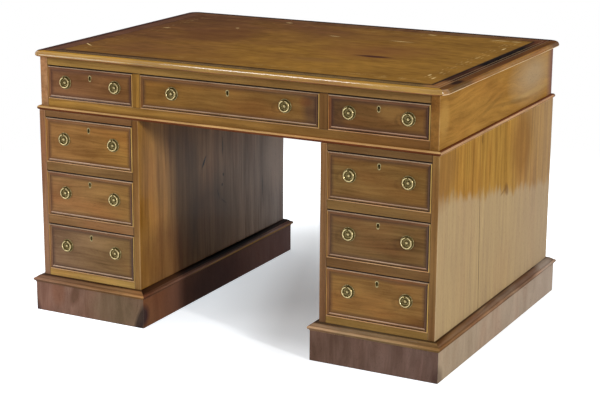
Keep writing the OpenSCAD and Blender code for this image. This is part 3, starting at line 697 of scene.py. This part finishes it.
# outer stile, then the one beside the kneehole, each from its foot to its top
PEDESTAL_STILES = {"left": (("#947259", "#8A6040"), ("#926F3F", "#704A24")),
                   "right": (("#755633", "#886537"), ("#705136", "#825D39"))}
FRONTS = {
    "frieze_left": ("#81593C", "#7B542C"), "frieze_centre": ("#88602C", "#7C5E32"),
    "frieze_right": ("#6C4D2B", "#6F4D27"), "left_top": ("#976C3F", "#976E35"),
    "left_middle": ("#926C45", "#8B6736"), "left_bottom": ("#795E47", "#7E6139"),
    "right_top": ("#7C5E35", "#7A5A2D"), "right_middle": ("#705432", "#765930"),
    "right_bottom": ("#876334", "#835F32"),
}
# Drawer mouldings, left, right, bottom and top: how far their bead, quirk, ovolo and inner edge differ from
# the front's own stain, and towards which colour. These are painted light and shade: beads, and the bottom
# moulding's inner edge, are lightened as painted highlights, quirks darkened as painted shade, and ovolos
# and the other inner edges darkened by dirt and painted shade.
MOULDING_SHADING = (((0.6, "#B88A4C"), (0.6, "#6A3E24"), (0.5, "#7A5034"), (0.6, "#4A2C28")),
             ((0.7, "#C8A45C"), (0.9, "#1E100E"), (0.7, "#4A3030"), (0.6, "#4A3030")),
             ((0.85, "#CDA070"), (0.9, "#1E100E"), (0.4, "#4A3028"), (0.85, "#B89A80")),
             ((0.8, "#B09880"), (0.6, "#6A3C28"), (0.5, "#6A3C28"), (0.5, "#5A3626")))
# front, outer side, kneehole side, each from one end to the other; the kneehole side's grey back end is
# painted light bounced from the floor
PLINTHS = {"left": (("#856557", "#765E4C"), ("#8A7866", "#8A7866"), ("#6B462D", "#6B5552")),
           "right": (("#6D5549", "#68534A"), ("#97856E", "#9A8A7B"), ("#6B462D", "#6B5552"))}
CAPS = {"left": (("#735644", "#86633D"), ("#7A5941", "#7A5941"), ("#5E3E2B", "#7A6660")),
        "right": (("#957F63", "#7E5F39"), ("#6C4C2A", "#7A6656"), ("#5E3E2B", "#7A6660"))}
# Dirt and painted shade on the inner part of a cap's top, against the board above it, in the same order:
# width in mm, and share of the colour it leaves.
CAP_DIRT_AND_SHADE = ((9, 0.3), (6, 0.4), (15, 0.16))
# The cap's nose begins this many mm out; where it looks up it gets a painted highlight. How much lighter it
# is, and how much darker the rest.
NOSE_FROM, NOSE_HIGHLIGHT, CAP_SHADE = 19, 1.5, 0.9
PINE = "#9C7A4E"
GAP_SHADE = "#140B08"        # painted shade in the gaps round the drawers
# How dark the brasses are at each mm from their middle: patina, and on a back plate also painted shade from
# 15 to 17 mm, under the outer half of its ring.
PLATE_PATINA_AND_SHADE = ((0, 0.2), (3.6, 0.45), (5, 1), (7, 0.9), (9, 0.7), (12, 0.95), (15, 1), (17.2, 1), (18.2, 0.55),
              (19.2, 0.75))
KEYHOLE_DIRT = ((0, 1), (10.5, 1), (14, 0.6), (17, 0.15), (20, 0.55))


# Operators

class DeskOperator(bpy.types.Operator):
    """What the desk's operators share."""
    bl_options = {"REGISTER", "UNDO"}


class DESK_OT_top(DeskOperator):
    """Top board with its crossbanded border, and the moulded edge round it"""
    bl_idname = "desk.top"
    bl_label = "Top and edge moulding"

    def execute(self, context):
        settings = context.scene.desk_wood
        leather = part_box("writing_leather")[1]
        # mahogany veneer laid across the edge: short close streaks, its polish worn dull
        band = wood("crossbanded_mahogany", streak=(120, 16), hair=7, contrast=0.7, cloud=0.35, coat=0.02,
                    shine=0, edge=(0, 2, 0.2), paint=crossband_lines(leather))
        bands = {"front": ("#46301F", settings.band), "right": ("#6C4222", "#54301C"),
                 "back": ("#60402A", "#6A4A2C"), "left": ("#5A3C2C", "#5A3C2C")}
        bm = cad_copy("top_board")
        for x in (-leather.x, leather.x):
            cut(bm, (x, 0, 0), (1, 0, 0))
        for y in (-leather.y, leather.y):
            cut(bm, (0, y, 0), (0, 1, 0))
        mitre(bm, leather)
        soften(bm, THIN_ARRIS)
        dress(bm, 11, lambda face, low, high: (0, *bands[run_of(face, leather)]),
              along=lambda face, low, high: 1 if run_of(face, leather) in ("front", "back") else 0)
        new_piece(bm, "top_board", "_wood", [band])

        # solid mahogany with fine lines: the front nosing keeps its full polish and mirrors the lamps, the
        # flat top is rubbed dull, and the nosing on the other sides is duller and redder
        lipping_woods = [
            wood(name, streak=(300, 8), hair=hair, contrast=0.8, redness=redness, coat=coat, gloss=gloss,
                 shine=0, edge=(0, 1, 0.3), paint=paint)
            for name, hair, redness, coat, gloss, paint in (
                ("moulded_lipping_polished", 3, 0.35, 1.0, 0.26, None),
                ("flat_lipping", 4, 0.35, 0.02, 0.38, marks(LIPPING_TOP)),
                ("moulded_lipping_side", 3, 0.6, 0.06, 0.34, marks(RIGHT_NOSING)))]
        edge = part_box("top_edge_moulding")[1]
        # flat top, nosing, and the return below it, which has a painted highlight on the right
        lippings = {"front": (settings.edge, settings.edge, "#8A5C38"), "left": 3 * ("#402822",),
                    "right": ("#64401F", "#8C6430", "#D8C09C"), "back": 3 * ("#301E18",)}

        def lipping(face, low, high):
            run = run_of(face, edge)
            flat_top, nose, below = lippings[run]
            if face.normal.z > STRAIGHT:
                return 1, flat_top, flat_top
            # the return below; its pale colour on the right is a painted highlight
            if face.normal.z < -PARTLY:
                return 1, below, below
            rounded = abs(face.normal.x) > BARELY and face.normal.y < -BARELY
            return (0 if run == "front" or rounded else 2), nose, nose

        bm = cad_copy("top_edge_moulding")
        mitre(bm, edge)
        soften(bm, MOULDING_ARRIS)
        dress(bm, 12, lipping,
              along=lambda face, low, high: 0 if run_of(face, edge) in ("front", "back") else 1)
        new_piece(bm, "top_edge_moulding", "_wood", lipping_woods)
        return {"FINISHED"}


class DESK_OT_leather(DeskOperator):
    """Writing leather, with a gilt tooled border"""
    bl_idname = "desk.leather"
    bl_label = "Writing leather"

    def execute(self, context):
        hide = tooled_calf("tooled_calf", context.scene.desk_leather, *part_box("writing_leather"))
        plain("writing_leather", "_tooled", hide, arris=MOULDING_ARRIS)
        return {"FINISHED"}


class DESK_OT_frieze(DeskOperator):
    """Frieze section: end boards, front rails and muntins, back, partitions and the bead round its foot"""
    bl_idname = "desk.frieze"
    bl_label = "Frieze"

    def execute(self, context):
        settings = context.scene.desk_wood
        # straight-grained mahogany: even streaks, and wax, dirt and painted shade of the drawer gaps along
        # every edge
        rail = wood("polished_mahogany_rail", edge=(0, 2.2, 0.6), contrast=0.8)
        # wavy mahogany: short streaks that bend far, low in contrast under a thin polish
        end = wood("wavy_mahogany_end", streak=(130, 15), hair=6, hairy=0.3, sway=70, contrast=0.58,
                   redness=0.15, shine=0, coat=0.04, paint=marks(FRIEZE_END))
        # mahogany half-round: fine short lines, rubbed clean of dirt
        bead = wood("polished_mahogany_bead", streak=(160, 9), hair=5, contrast=0.6, redness=0.4,
                    edge=(0, 1, 0), crevice_shade=0.3, shine=0, coat=0.05, paint=marks(WAIST_BEAD))
        # pine, planed and never polished: plain lines and no gloss
        inside = wood("carcase_pine", hair=6, contrast=0.7, gloss=0.6, coat=0, redness=0.1)

        def ends(face, low, high):
            if face.normal.y < -MOSTLY:
                return (1, *FRIEZE_STILES["right" if low.x > 0 else "left"])
            return 0, settings.end, settings.end

        def rails(face, low, high):
            # faces that look down into a drawer's gap get painted shade
            if face.normal.z < -LITTLE and low.z > OVER_DRAWERS:
                return 0, GAP_SHADE, GAP_SHADE
            if high.x - low.x > WHOLE_WIDTH:
                return (0, *FRIEZE_RAILS["top" if low.z > TOP_RAIL else "bottom"])
            return (0, *FRIEZE_RAILS["right" if low.x > 0 else "left"])

        def back(face, low, high):
            shows = high.y > BACK_FROM and high.z - low.z > BACK_HEIGHT
            return (1, settings.back, settings.back) if shows else (0, PINE, PINE)

        def waist(face, low, high):
            run = "front" if high.x - low.x > WHOLE_WIDTH else "side"
            # the bead's painted highlight and shade follow the way its face looks
            code = next(code for least, code in WAIST_SHADING[run] if face.normal.z >= least)
            return 0, code, code

        wooden("frieze_ends", [end, rail], 21, ends, along=lambda face, low, high: 1, arris=BOARD_ARRIS)
        wooden("frieze_front_rails", [rail], 22, rails, arris=RAIL_ARRIS, shortest=LONG_EDGE)
        wooden("frieze_back_and_partitions", [inside, end], 23, back)
        wooden("waist_bead", [bead], 24, waist, arris=THIN_ARRIS)
        return {"FINISHED"}


class DESK_OT_pedestals(DeskOperator):
    """The two pedestals: sides, backs, rails, runners and stops"""
    bl_idname = "desk.pedestals"
    bl_label = "Pedestals"

    def execute(self, context):
        settings = context.scene.desk_wood
        # straight-grained mahogany, as the frieze's rails, with the same dirt and painted gap shade along its
        # edges
        rail = wood("polished_mahogany_stile", edge=(0, 2.2, 0.55), contrast=0.8)
        # mahogany with nearly no polish left: long hair lines, and low down a painted reflection of the pale
        # floor
        side = wood("faded_mahogany_side", streak=(480, 16), hair=9, hairy=0.3, contrast=0.8, cloud=0.18,
                    redness=0.25, shine=0, coat=0.04, paint=side_with_painted_reflection, edge=(0, 3, 0.35))
        # plain mahogany boards under a thin polish: long quiet streaks
        plain_side, back = [
            wood(name, streak=streak, hair=6, contrast=0.75, shine=0, coat=0.04, edge=(0, 3, 0.35))
            for name, streak in (("mahogany_side", (480, 24)), ("mahogany_back", (700, 34)))]
        # mahogany that a sitter's knees have polished and a chair has knocked: a soft gloss over dark marks,
        # with patches of painted shadow and painted light
        inner = wood("kneehole_mahogany", streak=(420, 24), hair=8, hairy=0.3, sway=22, contrast=0.9,
                     cloud=0.15, gloss=0.44, shine=0, coat=0.2, paint=marks(KNEEHOLE_SIDE),
                     edge=(0, 3, 0.35))
        # pine, as in the frieze
        inside = wood("pedestal_pine", hair=6, contrast=0.7, gloss=0.6, coat=0, redness=0.1)
        for name, sign, seed in (("left", -1, 31), ("right", 1, 32)):
            case = name + "_pedestal_case"
            middle = sum(corner.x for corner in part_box(case)) / 2

            def finish(face, low, high):
                if high.z - low.z < UPRIGHT:
                    return 3, PINE, PINE
                if high.y - low.y < BACK_DEPTH or face.normal.y > MOSTLY:
                    return 4, settings.back, settings.back
                outer = (low.x - middle) * sign > 0
                if face.normal.y < -MOSTLY:
                    return (0, *PEDESTAL_STILES[name][0 if outer else 1])
                if outer:
                    return 1, settings.side, settings.side
                # the kneehole side greys towards its back with painted bounce light
                return 2, settings.inner, settings.inner_back

            def upright(face, low, high):
                return 2 if high.z - low.z > UPRIGHT else longest(high - low)

            def rails(face, low, high):
                # faces that look down into a drawer's gap get painted shade
                if face.normal.z < -LITTLE:
                    return 0, GAP_SHADE, GAP_SHADE
                level = min(range(4), key=lambda i: abs(RAIL_HEIGHTS[i] - (low.z + high.z) / 2 / MM))
                code = PEDESTAL_RAILS[name][level]
                return 0, code, code

            wooden(case, [rail, side if sign > 0 else plain_side, inner, inside, back], seed, finish,
                   along=upright, arris=BOARD_ARRIS)
            wooden(name + "_pedestal_rails", [rail], seed + 10, rails, arris=RAIL_ARRIS, shortest=LONG_EDGE)
        return {"FINISHED"}


class DESK_OT_plinths(DeskOperator):
    """Plinth boards of the two pedestals and the moulding that caps them"""
    bl_idname = "desk.plinths"
    bl_label = "Plinths"

    def execute(self, context):
        # mahogany veneer, its grain upright: a flame of wide bends at the front, and quieter round the sides
        boards = [
            wood(kind + "_mahogany_plinth", streak=(110, 24), hair=7, sway=110, contrast=contrast, cloud=0.4,
                 redness=0.25, edge=(0, 2.5, 0.3), shine=0, coat=0.04, paint=marks(PLINTH_FRONTS, axis=1))
            for kind, contrast in (("flame", 0.7), ("plain", 0.3))]
        # mahogany moulding: fine lines, red where its polish is rubbed through
        cap = wood("polished_mahogany_cap", streak=(200, 10), redness=0.6, coat=0.05, shine=0,
                   edge=(0, 1, 0.3), paint=marks(PLINTH_CAPS))
        for name, sign, seed in (("left", -1, 51), ("right", 1, 52)):
            def runs(table):
                low_x, high_x = (corner.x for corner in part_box(name + "_plinth"))

                def finish(face, low, high):
                    spot = face.calc_center_median()
                    if high.x - low.x > PEDESTAL_WIDE:
                        run, out = 0, high.y - spot.y
                    else:
                        right = low.x + high.x > low_x + high_x
                        run = 1 if right == (sign > 0) else 2
                        out = spot.x - low.x if right else high.x - spot.x
                    if table is PLINTHS:
                        return (min(run, 1), *table[name][run])
                    # dirt and painted shade lie on the inner part of the cap's top, and its nose gets a
                    # painted highlight where it looks up
                    width, shade = CAP_DIRT_AND_SHADE[run]
                    if out >= width * MM:
                        shade = NOSE_HIGHLIGHT if out > NOSE_FROM * MM and face.normal.z > 0 else CAP_SHADE
                    return 0, *[Vector(hex_colour(code)) * shade for code in table[name][run]]
                return finish

            wooden(name + "_plinth", boards, seed, runs(PLINTHS), along=lambda face, low, high: 2)
            wooden(name + "_plinth_moulding", [cap], seed + 10, runs(CAPS), arris=MOULDING_ARRIS)
        return {"FINISHED"}


class DESK_OT_drawers(DeskOperator):
    """The nine drawers: fronts with a sunk field, planted mouldings and dovetailed linings"""
    bl_idname = "desk.drawers"
    bl_label = "Drawers"

    def execute(self, context):
        settings = context.scene.desk_wood
        # figured mahogany veneer: bent streaks among dark clouds, and old wax round the sunk field
        front = wood("drawer_front_mahogany", streak=(180, 12), hair=5, hairy=0.24, sway=45, contrast=0.9,
                     cloud=0.45, redness=0.5, edge=(9.9, 10, 0.55), soil_and_shade_tone="#352227",
                     paint=marks(DRAWER_FIELDS))
        # solid mahogany moulding, cleaned often: hardly any dirt, and more gloss than the front
        edge = wood("drawer_moulding_mahogany", streak=(90, 20), hair=3, contrast=0.7, redness=0.4,
                    coat=0.15, edge=(0, 0.8, 0), crevice_shade=0.3)
        # mahogany linings, planed and left bare: pale, plain and dull
        lining = wood("drawer_lining_mahogany", contrast=0.6, gloss=0.55, coat=0, redness=0.15)
        for count, name in enumerate(DRAWERS):
            front_low, front_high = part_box(name + "_drawer")
            own = [Vector(hex_colour(code)) for code in FRONTS[name]]

            def finish(face, low, high):
                if high.y < front_low.y + PLANTED_DEPTH:
                    middle = face.calc_center_median()
                    strip, in_from = min(enumerate((middle.x - front_low.x, front_high.x - middle.x,
                                                    middle.z - front_low.z, front_high.z - middle.z)),
                                         key=lambda pair: pair[1])
                    # the part picks its colour from the table: painted highlights, painted shade and dirt
                    part = sum(in_from > step * MM for step in MOULDING_STEPS)
                    share, code = MOULDING_SHADING[strip][part]
                    return 1, *[stain.lerp(Vector(hex_colour(code)), share) for stain in own]
                if high.y < front_low.y + FRONT_DEPTH and face.normal.y < HALFWAY:
                    # the front's top edge, which looks up into its gap, gets painted shade
                    return (0, GAP_SHADE, GAP_SHADE) if face.normal.z > MOSTLY else (0, *own)
                return 2, settings.lining, settings.lining

            wooden(name + "_drawer", [front, edge, lining], 70 + count, finish, body=name + "_drawer",
                   arris=DRAWER_ARRIS)
        return {"FINISHED"}


class DESK_OT_brasses(DeskOperator):
    """Turned back plates, rings, keyhole linings, locks and their bolts"""
    bl_idname = "desk.brasses"
    bl_label = "Handles and locks"

    def execute(self, context):
        brass = context.scene.desk_brass
        # back plates, keyhole linings and lock cases, each duller, and rings that hands have polished
        plate = aged_brass("turned_plate_brass", brass, 0.95, profile=PLATE_PATINA_AND_SHADE)
        lining = aged_brass("keyhole_brass", brass, 0.72, 0.4, profile=KEYHOLE_DIRT)
        case = aged_brass("lock_case_brass", brass, 0.6, 0.45)
        ring = aged_brass("ring_brass", brass, 0.88, 0.22)
        steel = lock_steel("lock_bolt_steel")
        for drawer in (name + "_drawer" for name in DRAWERS):
            bm = cad_copy(drawer + "_brasses")
            turned = bm.verts.layers.float_vector.new("turned")
            for piece in islands(bm):
                low, high = extent(piece)
                middle, size = (low + high) / 2, high - low
                # which material: 0 a back plate, 1 a keyhole lining, 2 the rest
                kind = 1 if LINING_LOW < size.z < LINING_HIGH else 2
                if min(size.x, size.y) > PLATE_SIZE:
                    kind = 0
                wider, higher = (1, 1) if kind == 0 else LINING_STRETCH
                for face in piece:
                    face.material_index = kind
                    for vert in face.verts:
                        offset = (vert.co - middle) / MM
                        vert[turned] = Vector((offset.x * wider, 0, offset.z * higher))
            new_piece(bm, drawer + "_brasses", "_polished", [plate, lining, case], drawer)
            for side in ("left", "right"):
                node = f"{drawer}_{side}_ring"
                plain(node, "_polished", ring, node)
            bolt = drawer + "_lock_bolt"
            plain(bolt, "_filed", steel, bolt, MOULDING_ARRIS)
        return {"FINISHED"}


# The camera that the photograph implies: where it stood, how it was turned, and its lens in pixels of a
# 600 by 405 picture.
CAMERA_AT = (2.1135, -4.1104, 1.5233)
CAMERA_AZIMUTH, CAMERA_ELEVATION, CAMERA_ROLL = 29.265, 14.702, -0.155
CAMERA_FOCAL, CAMERA_CENTRE = 1631.0, (243.1, 198.1)
PICTURE = (600, 405)
# The shadow of the right pedestal on the left one gives the key light's direction: 20 degrees in front of
# the desk's right side, and 15 degrees up.
KEY_TOWARDS = Vector((0.906, -0.330, 0.265))
KEY_DISTANCE = 7
AIM = Vector((0, -0.2, 0.4))    # where all lamps look
# The lamps' names, places, and widths and heights.
SOFTBOXES = (("key", AIM + KEY_DISTANCE * KEY_TOWARDS, (0.4, 1.1)),
             ("fill", Vector((-2.5, -2.7, 1.3)), (1.2, 1.4)),
             ("top", Vector((-1.1, -0.5, 3.1)), (0.9, 0.8)),
             ("back", Vector((1.9, 3.2, 1.2)), (2.0, 1.5)))
FLOOR_RADIUS = 2.6
WHITE_FROM, WHITE_TO = 1.1, 2.3    # metres from the middle between which the paper turns pure white
# How far across the picture a place on the floor is: share of the picture's width for a metre along each
# axis, and where the middle of the desk lies.
ACROSS_PICTURE, MIDDLE_ACROSS = (0.5, 0.19, 0), 0.5
# Share of the paper's glow across the picture, from the left plinth to the right of the desk.
PAPER_LIFT = ((0.30, 1.0), (0.365, 0.97), (0.43, 0.72), (0.455, 0.55), (0.49, 0.35), (0.53, 0.36),
              (0.6, 0.6), (0.74, 0.85))
# Before and behind the desk the glow grows by the second value times the square of the distance from this y.
GLOW_MIDDLE, GLOW_RISE = 0.1, 1.15


def seen_directly(add):
    """1 where the camera sees a surface, also in gloss or through glass, and 0 where it lights others."""
    ray = add("LightPath")
    seen = add("Math.MAXIMUM", (ray.outputs["Is Camera Ray"], ray.outputs["Is Glossy Ray"]))
    return add("Math.MAXIMUM", (seen, ray.outputs["Is Transmission Ray"]))


def background_paper(name, glow):
    """White background paper: matt, with the desk's soft shadow, and pure white towards its edge. It looks
    whiter beside the left plinth and outside the desk than in the kneehole's shadow, and more so before and
    behind the desk than under it."""
    material, add = new_material(name)
    seen = seen_directly(add)
    place = add("TexCoord").outputs["Object"]
    rim = add("MapRange", (add("VectorMath.LENGTH", (place,)), WHITE_FROM, WHITE_TO),
              interpolation_type="SMOOTHSTEP")
    clear = add("Math.MULTIPLY", (rim, seen))
    across = add("Math.ADD", (add("VectorMath.DOT_PRODUCT", (place, ACROSS_PICTURE)), MIDDLE_ACROSS))
    lift = add("ValToRGB", {"Fac": across}, stops=[(at, (v, v, v)) for at, v in PAPER_LIFT])
    beyond = add("Math.SUBTRACT", (add("SeparateXYZ", (place,)).outputs["Y"], GLOW_MIDDLE))
    beyond = add("Math.MULTIPLY", (beyond, beyond))
    lift = add("Math.MULTIPLY_ADD", (beyond, GLOW_RISE, lift))
    strength = add("Math.MULTIPLY", (add("Math.MULTIPLY", (seen, glow)), lift))
    lit = add("Emission", {"Color": "#EFF8FF", "Strength": strength})
    paper = add("AddShader", (add("BsdfDiffuse", {"Color": "#F7F7F7"}), lit))
    white = add("Emission", {"Color": "#FFFFFF", "Strength": 1.0})
    add("OutputMaterial", {"Surface": add("MixShader", {"Fac": clear, 1: paper, 2: white})})
    return material


class DESK_OT_studio(DeskOperator):
    """Pale floor, soft lamps, surrounding light and the camera"""
    bl_idname = "desk.studio"
    bl_label = "Studio"

    def execute(self, context):
        scene = context.scene
        studio = scene.desk_studio
        bm = bmesh.new()
        bmesh.ops.create_circle(bm, cap_ends=True, segments=96, radius=FLOOR_RADIUS)
        mesh = bpy.data.meshes.new("studio_floor")
        bm.to_mesh(mesh)
        bm.free()
        mesh.materials.append(background_paper("white_background_paper", studio.paper_glow))
        floor = bpy.data.objects.new("studio_floor", mesh)
        scene.collection.objects.link(floor)

        world = bpy.data.worlds.new("studio_air")
        world.use_nodes = True
        scene.world = world
        world.node_tree.nodes.clear()
        add = partial(add_node, world.node_tree)
        strength = add("MapRange", (seen_directly(add), 0, 1, studio.around, 1))
        add("OutputWorld", {"Surface": add("Background", {"Color": "#FFFFFF", "Strength": strength})})

        for name, place, size in SOFTBOXES:
            light = bpy.data.lights.new(name + "_softbox", "AREA")
            light.shape, light.size, light.size_y = "RECTANGLE", *size
            light.energy = getattr(studio, name)
            lamp = bpy.data.objects.new(name + "_softbox", light)
            lamp.location = place
            lamp.rotation_euler = (place - AIM).to_track_quat("Z", "Y").to_euler()
            scene.collection.objects.link(lamp)

        lens = bpy.data.cameras.new("photo_camera")
        lens.sensor_width = 36
        lens.lens = CAMERA_FOCAL / PICTURE[0] * lens.sensor_width
        lens.shift_x = (PICTURE[0] / 2 - CAMERA_CENTRE[0]) / PICTURE[0]
        lens.shift_y = (CAMERA_CENTRE[1] - PICTURE[1] / 2) / PICTURE[0]
        lens.clip_start, lens.clip_end = 0.1, 100
        camera = bpy.data.objects.new("photo_camera", lens)
        az, el, roll = (math.radians(v) for v in (CAMERA_AZIMUTH, CAMERA_ELEVATION, CAMERA_ROLL))
        back = Vector((math.sin(az) * math.cos(el), -math.cos(az) * math.cos(el), math.sin(el)))
        right = back.cross(Vector((0, 0, -1))).normalized()
        up = back.cross(right)
        across = right * math.cos(roll) + up * math.sin(roll)
        above = up * math.cos(roll) - right * math.sin(roll)
        camera.matrix_world = Matrix((across, above, back)).transposed().to_4x4()
        camera.location = CAMERA_AT
        scene.collection.objects.link(camera)
        scene.camera = camera
        scene.view_settings.view_transform = "Standard"
        return {"FINISHED"}


OPERATORS = (DESK_OT_studio, DESK_OT_top, DESK_OT_leather, DESK_OT_frieze, DESK_OT_pedestals,
             DESK_OT_plinths, DESK_OT_drawers, DESK_OT_brasses)


class DESK_PT_panel(bpy.types.Panel):
    """The desk's pieces, one button each"""
    bl_idname = "DESK_PT_panel"
    bl_label = "Pedestal desk"
    bl_space_type = "VIEW_3D"
    bl_region_type = "UI"
    bl_category = "Desk"

    def draw(self, context):
        for operator in OPERATORS:
            self.layout.operator(operator.bl_idname)


GROUPS = {"desk_wood": DeskWood, "desk_leather": DeskLeather, "desk_brass": DeskBrass,
          "desk_studio": DeskStudio}


def register():
    for name, group in GROUPS.items():
        bpy.utils.register_class(group)
        setattr(bpy.types.Scene, name, bpy.props.PointerProperty(type=group))
    for made in (*OPERATORS, DESK_PT_panel):
        bpy.utils.register_class(made)


def unregister():
    for made in reversed((*OPERATORS, DESK_PT_panel)):
        bpy.utils.unregister_class(made)
    for name, group in GROUPS.items():
        delattr(bpy.types.Scene, name)
        bpy.utils.unregister_class(group)


def main():
    register()
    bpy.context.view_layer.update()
    for operator in OPERATORS:
        group, name = operator.bl_idname.split(".")
        getattr(getattr(bpy.ops, group), name)()


if __name__ == "__main__":
    main()
